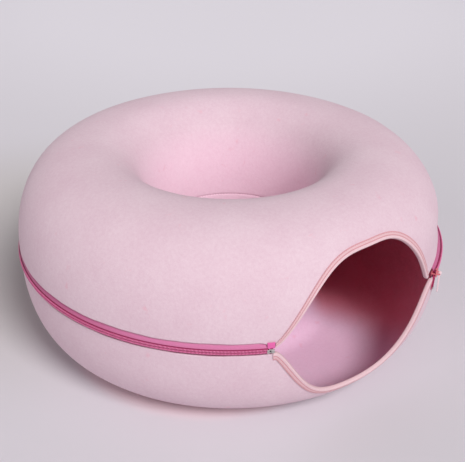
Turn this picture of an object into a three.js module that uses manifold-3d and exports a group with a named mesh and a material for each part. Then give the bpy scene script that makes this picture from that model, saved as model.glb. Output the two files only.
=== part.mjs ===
// Felt donut cat bed: a ring-shaped tunnel of moulded felt with a mouth at its front and a
// hole through its middle. An upper and a lower felt shell meet in a zip round the outside
// and in a seam round the hole, and a binding is folded over each edge of the mouth.
// Millimetres, +Z up. The bed stands on z = 0 and its mouth faces -Y. Angles are degrees
// round the ring from -Y, anticlockwise seen from above. An arc is the way over the felt
// from the zip line, and a lift is the height above the felt's outer face.
import * as THREE from 'three';
import { mergeVertices } from 'three/addons/utils/BufferGeometryUtils.js';
import Module from 'manifold-3d';

const wasm = await Module();
wasm.setup();
const { clamp, degToRad, lerp, smoothstep } = THREE.MathUtils;

// Driving sizes of the ring
const OUTER_RADIUS = 299; // felt at the zip line
const HOLE_RADIUS = 107; // felt at the seam round the hole
const CROWN_RADIUS = 188.5; // the circle along the top of the ring
const HEIGHT = 270;
const SEAM_HEIGHT = 135; // zip line and hole seam
const BASE_OUTER_RADIUS = 192; // the flat that stands on the floor
const BASE_INNER_RADIUS = 152;
const RING_CENTRE_Y = -7.8; // puts the origin under the middle of the bed's box
const FULLNESS = { upperOuter: 2.32, upperInner: 2.15, lowerOuter: 2.65, lowerInner: 2.3 };

// Felt, binding and zip
const FELT = 4; // thickness of the felt
const PRESSED_FELT = 2.8; // thickness at a sewn edge
const PRESSED_RUN = 16; // how far from the edge the felt is pressed
const GAP = 0.3; // between neighbouring pieces
const SEAM_DIP = 0.8; // how deep the felt turns in at the hole seam
const SEAM_RUN = 3;
const BINDING = 1; // thickness of the tape that binds the mouth
const TAPE = { thickness: 1, tuck: 7.5, right: 30.1 };
const TAPE_LIFT = { turn: -0.9, coilOuter: 0.1, coilInner: 0.3 }; // on its way to the coil
const COIL = { inner: 0.15, outer: 3.3, bottom: 0.6, top: 2.2, bevel: 0.7, left: -26.52 };
const END_TAB = { left: -26.35, right: -24.6, from: 3.7, to: 12, bottom: 0.5, top: 1.3 };

// The cut edge of each half, as arcs from the zip line: along the zip, at the peak of the
// mouth and at its two corners. Each flank of the mouth has the angle of its corner, is
// formed by its spread and power, and its binding stops just past the corner. The binding's
// width goes from the one at the corners to the one at the peak. The zip tape ends beside
// the left corner.
const HALVES = {
  upper: {
    side: 1,
    zipEdge: 11,
    peak: { angle: 2.5, arc: 101.5, binding: 7.5 },
    left: { angle: -24.3, corner: 5.4, spread: 1.5, power: 1.3, binding: 4.8, stop: -24.45 },
    right: { angle: 24.2, corner: 9.5, spread: 1.8, power: 1.12, binding: 8.5, stop: 25 },
    tapeEnd: -25,
  },
  lower: {
    side: -1,
    zipEdge: 6.2,
    peak: { angle: -1.5, arc: 92.5, binding: 5.5 },
    left: { angle: -24.3, corner: 5.5, spread: 1.85, power: 1.5, binding: 8, stop: -25 },
    right: { angle: 27.8, corner: 3.4, spread: 1.5, power: 1.65, binding: 8, stop: 28.05 },
    tapeEnd: -25.1,
  },
};
const CORNER_RUN = 4; // how many degrees past a corner the zip has its full width

// Soft swellings and hollows that moulding and use leave in the felt
const SWELLINGS = [
  { angle: -135, arc: 95, halfAngle: 50, halfArc: 80, height: 1.8 },
  { angle: 80, arc: 120, halfAngle: 40, halfArc: 70, height: -1.2 },
  { angle: -7, arc: -105, halfAngle: 16, halfArc: 45, height: 2.2 },
  { angle: 150, arc: 60, halfAngle: 30, halfArc: 60, height: 1 },
  { angle: 50, arc: 0, halfAngle: 22, halfArc: 22, height: 1.8 },
  { angle: 42, arc: 0, halfAngle: 18, halfArc: 8, height: 1.6 },
  { angle: 42, arc: 12, halfAngle: 14, halfArc: 8, height: -2 },
  { angle: 42, arc: 30, halfAngle: 16, halfArc: 24, height: -5.5 },
];
const SWELLING_END = 165; // arc below the zip where the felt turns level for the base
const WAVER = { size: 0.9, reach: 45, turns: 3, shift: 40 }; // the zip line's rise and fall

// How finely the pieces are stepped
const MOUTH_COLUMNS = 11; // from the middle of the mouth to a corner
const BACK_COLUMNS = 42;
const ZIP_END_COLUMNS = [-27.1, -26.25, -24.95, -24.75];
const SECTION_STEPS = 48;
const COLUMN_CROWDING = 1.35;
const HOLE_SHOULDER = 30; // arc before the hole seam that is stepped in one
const MOST_SLANT = 1.9; // keeps the binding from running wide on the steepest flank

// One quarter of a section: upright where it leaves (r0, z0) and level where it meets (r1, z1)
function quarter(r0, z0, r1, z1, fullness) {
  const points = [];
  for (let i = 0; i <= SECTION_STEPS; i += 1) {
    const turn = (i / SECTION_STEPS) * (Math.PI / 2);
    const r = r1 + (r0 - r1) * Math.cos(turn) ** (2 / fullness);
    const z = z0 + (z1 - z0) * Math.sin(turn) ** (2 / fullness);
    points.push(new THREE.Vector2(r, z));
  }
  return points;
}

// A half section from the zip to the hole seam, read by its arc length
class HalfSection {
  constructor(outer, inner, side) {
    this.points = [...outer, ...inner.reverse()];
    this.arcs = [0];
    for (let i = 1; i < this.points.length; i += 1) {
      this.arcs.push(this.arcs[i - 1] + this.points[i].distanceTo(this.points[i - 1]));
    }
    this.outerArc = this.arcs[outer.length - 1];
    this.innerArc = this.arcs[outer.length];
    this.length = this.arcs.at(-1);
    this.normals = this.points.map((_, i) => {
      const before = this.points[Math.max(i - 1, 0)];
      const after = this.points[Math.min(i + 1, this.points.length - 1)];
      const along = after.clone().sub(before).normalize();
      return new THREE.Vector2(along.y * side, -along.x * side);
    });
  }

  at(arc) {
    const next = clamp(this.arcs.findIndex((a) => a >= arc), 1, this.arcs.length - 1);
    const share = (arc - this.arcs[next - 1]) / (this.arcs[next] - this.arcs[next - 1]);
    const point = this.points[next - 1].clone().lerp(this.points[next], share);
    const normal = this.normals[next - 1].clone().lerp(this.normals[next], share).normalize();
    return { point, normal };
  }
}

const upperSection = new HalfSection(
  quarter(OUTER_RADIUS, SEAM_HEIGHT, CROWN_RADIUS, HEIGHT, FULLNESS.upperOuter),
  quarter(HOLE_RADIUS, SEAM_HEIGHT, CROWN_RADIUS, HEIGHT, FULLNESS.upperInner).slice(0, -1),
  1,
);
const lowerSection = new HalfSection(
  quarter(OUTER_RADIUS, SEAM_HEIGHT, BASE_OUTER_RADIUS, 0, FULLNESS.lowerOuter),
  quarter(HOLE_RADIUS, SEAM_HEIGHT, BASE_INNER_RADIUS, 0, FULLNESS.lowerInner),
  -1,
);

// The smaller angle between two directions, in degrees
function angleBetween(a, b) {
  return Math.abs(THREE.MathUtils.euclideanModulo(a - b + 180, 360) - 180);
}

// How far the felt stands out of its even form; nothing on the base and inside the hole
function swell(angle, arc) {
  const fade = 1 - smoothstep(Math.abs(arc), SWELLING_END / 2, SWELLING_END);
  let height = 0;
  for (const lump of SWELLINGS) {
    const across = angleBetween(angle, lump.angle) / lump.halfAngle;
    const along = (arc - lump.arc) / lump.halfArc;
    height += lump.height * Math.exp(-across * across - along * along);
  }
  return arc < 0 ? height * fade : height;
}

// The rise and fall of the zip line, which dies out above and below it
function waver(angle, arc) {
  const wave = Math.sin(degToRad(WAVER.turns * angle + WAVER.shift));
  return WAVER.size * wave * Math.exp(-((arc / WAVER.reach) ** 2));
}

// The point at an angle and a signed arc (up is positive), lifted off the felt
function place(angle, arc, lift) {
  const { point, normal } = (arc >= 0 ? upperSection : lowerSection).at(Math.abs(arc));
  const out = lift + swell(angle, arc);
  const radius = point.x + normal.x * out;
  const turn = degToRad(angle - 90);
  return new THREE.Vector3(
    radius * Math.cos(turn),
    radius * Math.sin(turn) + RING_CENTRE_Y,
    point.y + normal.y * out + waver(angle, arc),
  );
}

// The flank of the mouth that an angle belongs to, how far it is past the mouth's corner
// and how much of the way from the corner's arc to the peak's the cut edge has risen there
function mouthAt(half, angle) {
  const name = angle > half.peak.angle ? 'right' : 'left';
  const flank = half[name];
  const past = name === 'right' ? angle - flank.angle : flank.angle - angle;
  const run = Math.min((angle - half.peak.angle) / (flank.angle - half.peak.angle), 1);
  const rise = Math.cos((Math.PI / 2) * run ** flank.spread) ** flank.power;
  return { flank, past, rise };
}

// Arc of a half's cut edge: the mouth's outline, and the zip's edge past its corners
function edge(half, angle) {
  const { flank, past, rise } = mouthAt(half, angle);
  if (past >= 0) return lerp(flank.corner, half.zipEdge, smoothstep(past, 0, CORNER_RUN));
  return lerp(flank.corner, half.peak.arc, rise);
}

// How much longer a way up the felt is than the same way square to the slanting edge
function slant(half, angle) {
  const step = 0.25;
  const rise = edge(half, angle + step) - edge(half, angle - step);
  const run = degToRad(2 * step) * OUTER_RADIUS;
  return Math.min(Math.hypot(1, rise / run), MOST_SLANT);
}

// Arc of the binding's outer border
function bindingEnd(half, angle) {
  const { flank, rise } = mouthAt(half, angle);
  const width = lerp(flank.binding, half.peak.binding, rise);
  return edge(half, angle) + width * slant(half, angle);
}

function feltThickness(fromEdge) {
  return lerp(PRESSED_FELT, FELT, smoothstep(fromEdge, 0, PRESSED_RUN));
}

// Every column of the ring. They lie close together where the zip ends, so that the facets
// of trim and felt stay nearly parallel there
function ringColumns() {
  const { upper, lower } = HALVES;
  const columns = [0];
  for (let i = 1; i <= MOUTH_COLUMNS; i += 1) {
    const share = 1 - (1 - i / MOUTH_COLUMNS) ** COLUMN_CROWDING;
    columns.push(share * lower.left.angle, share * upper.right.angle);
  }
  columns.push(upper.left.stop, upper.right.stop, lower.right.angle, lower.right.stop);
  columns.push(TAPE.right, ...ZIP_END_COLUMNS);
  columns.push(lower.left.angle - CORNER_RUN, lerp(upper.right.stop, lower.right.angle, 0.5));
  const backStart = lower.right.angle + CORNER_RUN;
  const backEnd = 360 + lower.left.angle - 2 * CORNER_RUN;
  for (let i = 0; i <= BACK_COLUMNS; i += 1) {
    const angle = lerp(backStart, backEnd, i / BACK_COLUMNS);
    columns.push(angle > 180 ? angle - 360 : angle);
  }
  return [...new Set(columns)].sort((a, b) => a - b);
}

const COLUMNS = ringColumns();

// The columns of a piece that runs from one angle up to another; past 180 it goes on
function columnsBetween(from, to) {
  const inside = [...COLUMNS, ...COLUMNS.map((angle) => angle + 360)]
    .filter((angle) => angle > from && angle < to);
  return [from, ...inside, to];
}

// A closed body from points and triangles, turned so that its faces point out
function closedBody(points, triangles) {
  let volume = 0;
  for (let i = 0; i < triangles.length; i += 3) {
    const [a, b, c] = [0, 1, 2].map((k) => points[triangles[i + k]]);
    volume += a.dot(b.clone().cross(c));
  }
  const index = volume < 0 ? triangles.slice().reverse() : triangles;
  const geometry = new THREE.BufferGeometry().setFromPoints(points);
  geometry.setIndex(index);
  return geometry;
}

// Skins a row of matching rings of points. With an outline for its ends the row is open and
// capped; without one its last ring joins its first.
function loft(rings, endOutline = null) {
  const size = rings[0].length;
  const points = rings.flat();
  const triangles = [];
  const spans = endOutline ? rings.length - 1 : rings.length;
  for (let i = 0; i < spans; i += 1) {
    const a = i * size;
    const b = ((i + 1) % rings.length) * size;
    for (let j = 0; j < size; j += 1) {
      const k = (j + 1) % size;
      const [p, q, r, s] = [a + j, b + j, b + k, a + k];
      const split = points[p].distanceTo(points[r]) <= points[q].distanceTo(points[s]);
      triangles.push(...(split ? [p, q, r, p, r, s] : [p, q, s, q, r, s]));
    }
  }
  if (endOutline) {
    const last = (rings.length - 1) * size;
    const clockwise = THREE.ShapeUtils.isClockWise(endOutline);
    for (const face of THREE.ShapeUtils.triangulateShape(endOutline, [])) {
      const [p, q, r] = clockwise ? face.slice().reverse() : face;
      triangles.push(p, q, r, last + r, last + q, last + p);
    }
  }
  return closedBody(points, triangles);
}

// Lofts a section of [arc, lift] pairs, given for each angle, over the columns of a half
function loftAlong(half, angles, section) {
  const rings = angles.map((angle) => (
    section(angle).map(([arc, lift]) => place(angle, half.side * arc, lift))
  ));
  return loft(rings, section(angles[0]).map(([arc, lift]) => new THREE.Vector2(arc, lift)));
}

// Felt shells: one moulded skin each, from the cut edge over the ring to the hole seam
function shell(half, section, stops) {
  const rings = COLUMNS.map((angle) => {
    const start = edge(half, angle);
    const rows = [start, bindingEnd(half, angle)];
    for (const { arc, rows: count } of stops) {
      const from = rows.at(-1);
      for (let i = 1; i <= count; i += 1) rows.push(lerp(from, arc, i / count));
    }
    const end = section.length - GAP / 2;
    const outside = rows.map((arc) => [arc, 0]);
    const turnedIn = [[end - SEAM_RUN, 0], [end, -SEAM_DIP], [end, -FELT], [end - SEAM_RUN, -FELT]];
    const inside = rows.map((arc) => [arc, -feltThickness(arc - start)]).reverse();
    return [...outside, ...turnedIn, ...inside]
      .map(([arc, lift]) => place(angle, half.side * arc, lift));
  });
  return loft(rings);
}

const upperShell = shell(HALVES.upper, upperSection, [
  { arc: upperSection.outerArc, rows: 6 },
  { arc: upperSection.length - HOLE_SHOULDER, rows: 4 },
]);
const lowerShell = shell(HALVES.lower, lowerSection, [
  { arc: lowerSection.outerArc, rows: 6 },
  { arc: lowerSection.innerArc, rows: 1 },
  { arc: lowerSection.length - HOLE_SHOULDER, rows: 4 },
]);

// Mouth bindings: a strip of woven tape folded over the cut edge and sewn through the felt
function mouthBinding(half) {
  const inner = GAP;
  const outer = GAP + BINDING;
  return loftAlong(half, columnsBetween(half.left.stop, half.right.stop), (angle) => {
    const start = edge(half, angle);
    const lean = slant(half, angle);
    const end = bindingEnd(half, angle);
    const feltEdge = -feltThickness(0);
    const feltEnd = -feltThickness(end - start);
    return [
      [end, inner], [end, outer], [start, outer],
      [start - outer * lean, 0], [start - outer * lean, feltEdge],
      [start, feltEdge - outer], [end, feltEnd - outer], [end, feltEnd - inner],
      [start, feltEdge - inner], [start - inner * lean, feltEdge],
      [start - inner * lean, 0], [start, inner],
    ];
  });
}

// Zip tapes: tucked behind the felt's edge, then bowed out to carry the coil
function thicken(path, thickness) {
  const under = path.map((point, i) => {
    const before = path[Math.max(i - 1, 0)];
    const after = path[Math.min(i + 1, path.length - 1)];
    const along = [after[0] - before[0], after[1] - before[1]];
    const length = Math.hypot(...along);
    return [point[0] - (along[1] / length) * thickness, point[1] + (along[0] / length) * thickness];
  });
  return [...path, ...under.reverse()];
}

function tapeSection(half, angle) {
  const start = edge(half, angle);
  const clear = GAP + 0.05;
  const path = [
    [start + TAPE.tuck, -feltThickness(TAPE.tuck) - clear],
    [start + 2 * GAP, -feltThickness(1) - clear],
    [start - GAP, -PRESSED_FELT - 0.1],
    [lerp(start, COIL.outer, 0.6), TAPE_LIFT.turn],
    [COIL.outer, TAPE_LIFT.coilOuter],
    [COIL.inner, TAPE_LIFT.coilInner],
  ];
  return thicken(path, TAPE.thickness);
}

// Coils: each half's run of teeth as one plain bar on its tape
function coilSection() {
  const { inner, outer, bottom, top, bevel } = COIL;
  return [
    [inner, bottom], [inner, top - bevel], [inner + bevel, top],
    [outer - bevel, top], [outer, top - bevel], [outer, bottom],
  ];
}

// A flat strip that runs down over the felt, from a table of its stations: the arc, the
// angles of its two sides, and the lifts of its under and upper faces
function strip(stations) {
  const rings = stations.map(({ arc, from, to, under, over }) => [
    place(from, arc, under), place(to, arc, under), place(to, arc, over), place(from, arc, over),
  ]);
  const corner = (x, y) => new THREE.Vector2(x, y);
  return loft(rings, [corner(0, 0), corner(1, 0), corner(1, 1), corner(0, 1)]);
}

// Joins closed bodies into one
function union(...geometries) {
  const parts = geometries.map((geometry) => {
    const bare = geometry.clone();
    bare.deleteAttribute('normal');
    bare.deleteAttribute('uv');
    const merged = mergeVertices(bare, 1e-4);
    return new wasm.Manifold(new wasm.Mesh({
      numProp: 3,
      vertProperties: new Float32Array(merged.attributes.position.array),
      triVerts: new Uint32Array(merged.index.array),
    }));
  });
  const joined = parts.reduce((sum, next) => sum.add(next)).getMesh();
  const geometry = new THREE.BufferGeometry();
  geometry.setAttribute('position', new THREE.BufferAttribute(joined.vertProperties, 3));
  geometry.setIndex(new THREE.BufferAttribute(joined.triVerts, 1));
  return geometry;
}

// The free end of the lower tape and coil, which comes out of the slider and turns down
const tapeTail = strip([
  { arc: -1.8, from: 29.7, to: 30.8, under: -0.6, over: 0.2 },
  { arc: -2.9, from: 29.4, to: 30.4, under: -0.6, over: 0.2 },
  { arc: -4.6, from: 29.1, to: 30.1, under: 0.35, over: 1.35 },
  { arc: -22.5, from: 28.9, to: 29.9, under: 0.35, over: 1.35 },
]);
const coilTail = strip([
  { arc: -1.2, from: 29.95, to: 30.7, under: 0.8, over: 2 },
  { arc: -2.9, from: 29.5, to: 30.05, under: 0.8, over: 2 },
  { arc: -4.6, from: 29.2, to: 29.7, under: 1.65, over: 2.2 },
  { arc: -5.9, from: 29.15, to: 29.65, under: 1.7, over: 2.9 },
  { arc: -18, from: 29.05, to: 29.55, under: 1.75, over: 3 },
]);
const tailStop = strip([
  { arc: -18.4, from: 28.95, to: 29.65, under: 1.75, over: 3.2 },
  { arc: -21.5, from: 28.9, to: 29.6, under: 1.75, over: 3.2 },
]);

const coilColumns = columnsBetween(TAPE.right, 360 + COIL.left);
const tapeColumns = (half) => columnsBetween(TAPE.right, 360 + half.tapeEnd);
const tapeAlong = (half) => loftAlong(half, tapeColumns(half), (angle) => (
  tapeSection(half, angle > 180 ? angle - 360 : angle)
));
const coilAlong = (half) => loftAlong(half, coilColumns, coilSection);

// The end of the upper tape, folded over at the left corner of the mouth
const endTab = loftAlong(
  HALVES.upper,
  columnsBetween(END_TAB.left, END_TAB.right),
  (angle) => [
    [END_TAB.to, GAP], [END_TAB.to, END_TAB.top], [END_TAB.from, END_TAB.top],
    [END_TAB.from, END_TAB.bottom], [edge(HALVES.upper, angle), GAP],
  ],
);

// Hard zip pieces, each in a frame of its own: x along the zip, y up, z out of the felt
function boxBody(x0, x1, y0, y1, z0, z1) {
  const geometry = new THREE.BoxGeometry(x1 - x0, y1 - y0, z1 - z0);
  return geometry.translate((x0 + x1) / 2, (y0 + y1) / 2, (z0 + z1) / 2);
}

function plateBody(outline, z0, z1) {
  const shape = new THREE.Shape(outline.map(([x, y]) => new THREE.Vector2(x, y)));
  const settings = { depth: z1 - z0, bevelEnabled: false };
  return new THREE.ExtrudeGeometry(shape, settings).translate(0, 0, z0);
}

// The slider: two plates joined by a post between the zip's halves, flanges that hold the
// coils, and a bridge that carries the puller
const SLIDER = {
  angle: 30.6,
  halfLength: 6,
  halfWidth: 4.9,
  plate: 1.3,
  above: COIL.top + GAP, // lift of the outer plate
  below: -3.3, // lift of the inner plate, behind the tapes
  innerPlate: { thickness: 0.9, length: 0.95, width: 0.74 }, // its size beside the outer one's
  flange: { from: -0.1, to: 0.55, thickness: 0.9, lift: 0.75 },
  post: { from: -0.9, to: -0.6, halfWidth: 0.9 },
};
const BRIDGE = { halfLength: 4.4, halfWidth: 0.85, low: 6.1, high: 7.2, leg: 1.1 };

function sliderBody() {
  const { halfLength: l, halfWidth: w, plate, above, below, innerPlate, flange, post } = SLIDER;
  const outline = [
    [-l, 0.6 * w], [-0.75 * l, w], [0.4 * l, w], [l, 0.75 * w],
    [l, -0.75 * w], [0.4 * l, -w], [-0.75 * l, -w], [-l, -0.6 * w],
  ].reverse();
  const innerOutline = outline.map(([x, y]) => [innerPlate.length * x, innerPlate.width * y]);
  const inPlate = above + plate / 2; // where the pieces that stand on the outer plate begin
  const bodies = [
    plateBody(outline, above, above + plate),
    plateBody(innerOutline, below, below + innerPlate.thickness),
    boxBody(post.from * l, post.to * l, -post.halfWidth, post.halfWidth, below + 0.3, inPlate),
  ];
  const { halfLength: b, halfWidth: h, leg, low, high } = BRIDGE;
  for (const side of [-1, 1]) {
    const outside = side * (w - 0.1);
    const inside = outside - side * flange.thickness;
    const [y0, y1] = [outside, inside].sort((p, q) => p - q);
    bodies.push(boxBody(flange.from * l, flange.to * l, y0, y1, flange.lift, inPlate));
    const [x0, x1] = [side * b, side * (b - leg)].sort((p, q) => p - q);
    bodies.push(boxBody(x0, x1, -h, h, inPlate, high));
  }
  bodies.push(boxBody(-b, b, -h, h, low, high));
  return union(...bodies);
}

// The puller: a thin strap that narrows to a rolled eye round the bridge, hanging straight
// down
const PULLER = {
  length: 28,
  width: 7.6,
  corner: 2.2,
  shoulder: 5.5, // how far below the bridge the strap has its full width
  halfThickness: 0.6,
  eye: { width: 5, inner: 1.35, outer: 2.45 },
};

function pullerBody() {
  const { length, width, corner, shoulder, halfThickness: t, eye } = PULLER;
  const centre = (BRIDGE.low + BRIDGE.high) / 2;
  const sides = 14;
  const neck = Math.asin(t / eye.outer);
  const outline = [];
  for (let i = 0; i <= sides; i += 1) {
    const turn = neck + ((2 * Math.PI - 2 * neck) * i) / sides;
    const x = -eye.outer * Math.cos(turn);
    outline.push(new THREE.Vector2(x, centre - eye.outer * Math.sin(turn)));
  }
  outline.push(new THREE.Vector2(-shoulder, centre + t), new THREE.Vector2(-shoulder, centre - t));
  const shape = new THREE.Shape(outline);
  const hole = new THREE.Path();
  hole.absarc(0, centre, eye.inner, 0, 2 * Math.PI, true);
  shape.holes.push(hole);
  const settings = { depth: eye.width, bevelEnabled: false, curveSegments: 6 };
  // Drawn with its length along x and its depth along z: turned to hang down across the zip
  const rolled = new THREE.ExtrudeGeometry(shape, settings).translate(0, 0, -eye.width / 2);
  rolled.applyMatrix4(new THREE.Matrix4().makeBasis(
    new THREE.Vector3(0, 1, 0),
    new THREE.Vector3(0, 0, 1),
    new THREE.Vector3(1, 0, 0),
  ));
  const left = [
    [-eye.width / 2, -eye.outer], [-width / 2, -shoulder], [-width / 2, corner - length],
    [corner - width / 2, -length],
  ];
  const right = left.map(([x, y]) => [-x, y]).reverse();
  return union(rolled, plateBody([...left, ...right], centre - t, centre + t));
}

// The end stop: a pressed metal clip with a round dent, across the end of both tapes
const STOP = { angle: -25.58, halfLength: 4.4, halfWidth: 2.6, low: 0.6, high: 2.5, hole: 1 };

function stopBody() {
  const { halfLength: l, halfWidth: w, low, high, hole: radius } = STOP;
  const chamfer = 0.7;
  const shape = new THREE.Shape([
    [-l + chamfer, -w], [l - chamfer, -w], [l, chamfer - w], [l, w - chamfer],
    [l - chamfer, w], [chamfer - l, w], [-l, w - chamfer], [-l, chamfer - w],
  ].map(([x, y]) => new THREE.Vector2(x, y)));
  const hole = new THREE.Path();
  hole.absarc(-0.4, 0, radius, 0, 2 * Math.PI, true);
  shape.holes.push(hole);
  const settings = { depth: high - low, bevelEnabled: false, curveSegments: 5 };
  return new THREE.ExtrudeGeometry(shape, settings).translate(0, 0, low);
}

// Materials, from the photographed colours
const MATERIALS = {
  felt: new THREE.MeshStandardMaterial({ color: 0xdcc6d2, roughness: 0.95, metalness: 0 }),
  binding: new THREE.MeshStandardMaterial({ color: 0xddafb9, roughness: 0.85, metalness: 0 }),
  tape: new THREE.MeshStandardMaterial({ color: 0xda77a3, roughness: 0.8, metalness: 0 }),
  coil: new THREE.MeshStandardMaterial({ color: 0xc85a8f, roughness: 0.45, metalness: 0 }),
  slider: new THREE.MeshStandardMaterial({ color: 0xe59a94, roughness: 0.4, metalness: 0.3 }),
  puller: new THREE.MeshStandardMaterial({ color: 0xe8bcc0, roughness: 0.45, metalness: 0.2 }),
  stop: new THREE.MeshStandardMaterial({ color: 0xb9b6b4, roughness: 0.35, metalness: 0.9 }),
};

function piece(name, geometry, material) {
  const mesh = new THREE.Mesh(geometry, material);
  mesh.name = name;
  return mesh;
}

// Sets a piece drawn in the zip's own frame on the zip line at an angle
function seat(mesh, angle) {
  const turn = degToRad(angle - 90);
  const along = new THREE.Vector3(-Math.sin(turn), Math.cos(turn), 0);
  const up = new THREE.Vector3(0, 0, 1);
  const out = new THREE.Vector3(Math.cos(turn), Math.sin(turn), 0);
  mesh.setRotationFromMatrix(new THREE.Matrix4().makeBasis(along, up, out));
  mesh.position.copy(place(angle, 0, 0));
  return mesh;
}

const bed = new THREE.Group();
bed.name = 'felt_donut_cat_bed';
bed.add(
  piece('upper_shell', upperShell, MATERIALS.felt),
  piece('lower_shell', lowerShell, MATERIALS.felt),
  piece('mouth_binding_upper', mouthBinding(HALVES.upper), MATERIALS.binding),
  piece('mouth_binding_lower', mouthBinding(HALVES.lower), MATERIALS.binding),
  piece('zip_tape_upper', tapeAlong(HALVES.upper), MATERIALS.tape),
  piece('zip_tape_lower', union(tapeAlong(HALVES.lower), tapeTail), MATERIALS.tape),
  piece('zip_coil_upper', coilAlong(HALVES.upper), MATERIALS.coil),
  piece('zip_coil_lower', union(coilAlong(HALVES.lower), coilTail), MATERIALS.coil),
  piece('zip_end_tab', endTab, MATERIALS.tape),
  seat(piece('zip_end_stop', stopBody(), MATERIALS.stop), STOP.angle),
  piece('zip_tail_stop', tailStop, MATERIALS.stop),
  seat(piece('zip_slider', sliderBody(), MATERIALS.slider), SLIDER.angle),
  seat(piece('zip_puller', pullerBody(), MATERIALS.puller), SLIDER.angle),
);

export default bed;
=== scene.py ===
# Felt donut cat bed: a ring-shaped tunnel of moulded felt with a mouth at its front and a
# hole through its middle. Sizes are millimetres and are turned into Blender's metres where
# a piece is placed. Angles are degrees round the ring from -Y, anticlockwise seen from
# above; an arc is the way over the felt from the zip line; a lift is the height above the
# felt's outer face.
import math

import bmesh
import bpy
import numpy as np
from mathutils import Matrix, Vector


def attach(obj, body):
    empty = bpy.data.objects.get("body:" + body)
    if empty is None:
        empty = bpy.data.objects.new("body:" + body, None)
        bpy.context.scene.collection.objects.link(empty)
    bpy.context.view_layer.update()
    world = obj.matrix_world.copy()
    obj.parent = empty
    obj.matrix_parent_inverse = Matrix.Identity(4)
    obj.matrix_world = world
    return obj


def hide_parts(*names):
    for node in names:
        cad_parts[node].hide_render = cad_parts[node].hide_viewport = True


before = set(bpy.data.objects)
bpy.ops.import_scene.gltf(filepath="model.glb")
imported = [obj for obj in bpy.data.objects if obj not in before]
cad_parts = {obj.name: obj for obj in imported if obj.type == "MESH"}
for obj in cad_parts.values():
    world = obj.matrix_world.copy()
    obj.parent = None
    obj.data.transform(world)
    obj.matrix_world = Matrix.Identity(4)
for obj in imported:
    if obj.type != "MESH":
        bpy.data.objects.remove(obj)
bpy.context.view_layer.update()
scene = bpy.context.scene

# Felt shells. Two skins of pressed polyester felt, 4 mm thick, each moulded hot over a
# half-ring form and trimmed to its edge: the upper one reaches from the zip over the top
# into the hole, the lower one from the zip under the base into the hole.
METRE = 0.001
OUTER_RADIUS, HOLE_RADIUS, CROWN_RADIUS = 299.0, 107.0, 188.5
HEIGHT, SEAM_HEIGHT = 270.0, 135.0
BASE_OUTER_RADIUS, BASE_INNER_RADIUS = 192.0, 152.0
RING_CENTRE_Y = -7.8
FULLNESS = {"upper_outer": 2.32, "upper_inner": 2.15, "lower_outer": 2.65, "lower_inner": 2.3}
FELT, PRESSED_FELT, PRESSED_RUN = 4.0, 2.8, 16.0
GAP = 0.3
CORNER_RUN = 4.0

# Each half's cut edge as arcs from the zip line; pairs are the left and right flank: the
# angle and arc of its corner, its form, its binding's width there and where that stops. The
# zip tape ends beside the left corner.
HALVES = {
    "upper": {
        "side": 1.0, "zip_edge": 11.0, "peak": 2.5, "peak_arc": 101.5, "peak_binding": 7.5,
        "end": (-24.3, 24.2), "corner": (5.4, 9.5), "spread": (1.5, 1.8), "power": (1.3, 1.12),
        "binding": (4.8, 8.5), "stop": (-24.45, 25.0), "tape_end": -25.0,
    },
    "lower": {
        "side": -1.0, "zip_edge": 6.2, "peak": -1.5, "peak_arc": 92.5, "peak_binding": 5.5,
        "end": (-24.3, 27.8), "corner": (5.5, 3.4), "spread": (1.85, 1.5), "power": (1.5, 1.65),
        "binding": (8.0, 8.0), "stop": (-25.0, 28.05), "tape_end": -25.1,
    },
}
# Swellings and hollows left by moulding and use: angle, arc, half angle, half arc, height
SWELLINGS = (
    (-135, 95, 50, 80, 1.8), (80, 120, 40, 70, -1.2), (-7, -105, 16, 45, 2.2),
    (150, 60, 30, 60, 1.0), (50, 0, 22, 22, 1.8), (42, 0, 18, 8, 1.6), (42, 12, 14, 8, -2.0),
    (42, 30, 16, 24, -5.5),
)
SWELLING_END = 165.0
WAVER_SIZE, WAVER_REACH, WAVER_TURNS, WAVER_SHIFT = 0.9, 45.0, 3.0, 40.0
CREASE = math.radians(50)


def blend(a, b, share):
    return a + (b - a) * share


def ease(value, start, stop):
    share = np.clip((value - start) / (stop - start), 0.0, 1.0)
    return share * share * (3.0 - 2.0 * share)


def quarter(rim, level, height, fullness, steps=180):
    """A quarter of the ring's section: upright at its rim, level at the other end."""
    turn = np.linspace(0.0, math.pi / 2, steps + 1)
    r = level + (rim - level) * np.clip(np.cos(turn), 0.0, 1.0) ** (2 / fullness)
    z = SEAM_HEIGHT + (height - SEAM_HEIGHT) * np.sin(turn) ** (2 / fullness)
    return np.column_stack((r, z))


def way_along(points):
    """How far each point of a row lies along it."""
    return np.concatenate(([0.0], np.cumsum(np.linalg.norm(np.diff(points, axis=0), axis=1))))


def headings(points, axis=0):
    """The direction at each point of a row."""
    along = np.gradient(points, axis=axis)
    return along / np.linalg.norm(along, axis=-1, keepdims=True)


def half_section(outer, inner, side):
    """Arc, radius, height and outward direction along a half section, as a table."""
    points = np.vstack((outer, inner[::-1]))
    along = headings(points)
    return np.column_stack((way_along(points), points, along[:, 1] * side, -along[:, 0] * side))


SECTIONS = {
    "upper": half_section(
        quarter(OUTER_RADIUS, CROWN_RADIUS, HEIGHT, FULLNESS["upper_outer"]),
        quarter(HOLE_RADIUS, CROWN_RADIUS, HEIGHT, FULLNESS["upper_inner"])[:-1], 1.0,
    ),
    "lower": half_section(
        quarter(OUTER_RADIUS, BASE_OUTER_RADIUS, 0.0, FULLNESS["lower_outer"]),
        quarter(HOLE_RADIUS, BASE_INNER_RADIUS, 0.0, FULLNESS["lower_inner"]), -1.0,
    ),
}


def wrapped(angle):
    return (angle + 180.0) % 360.0 - 180.0


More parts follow.
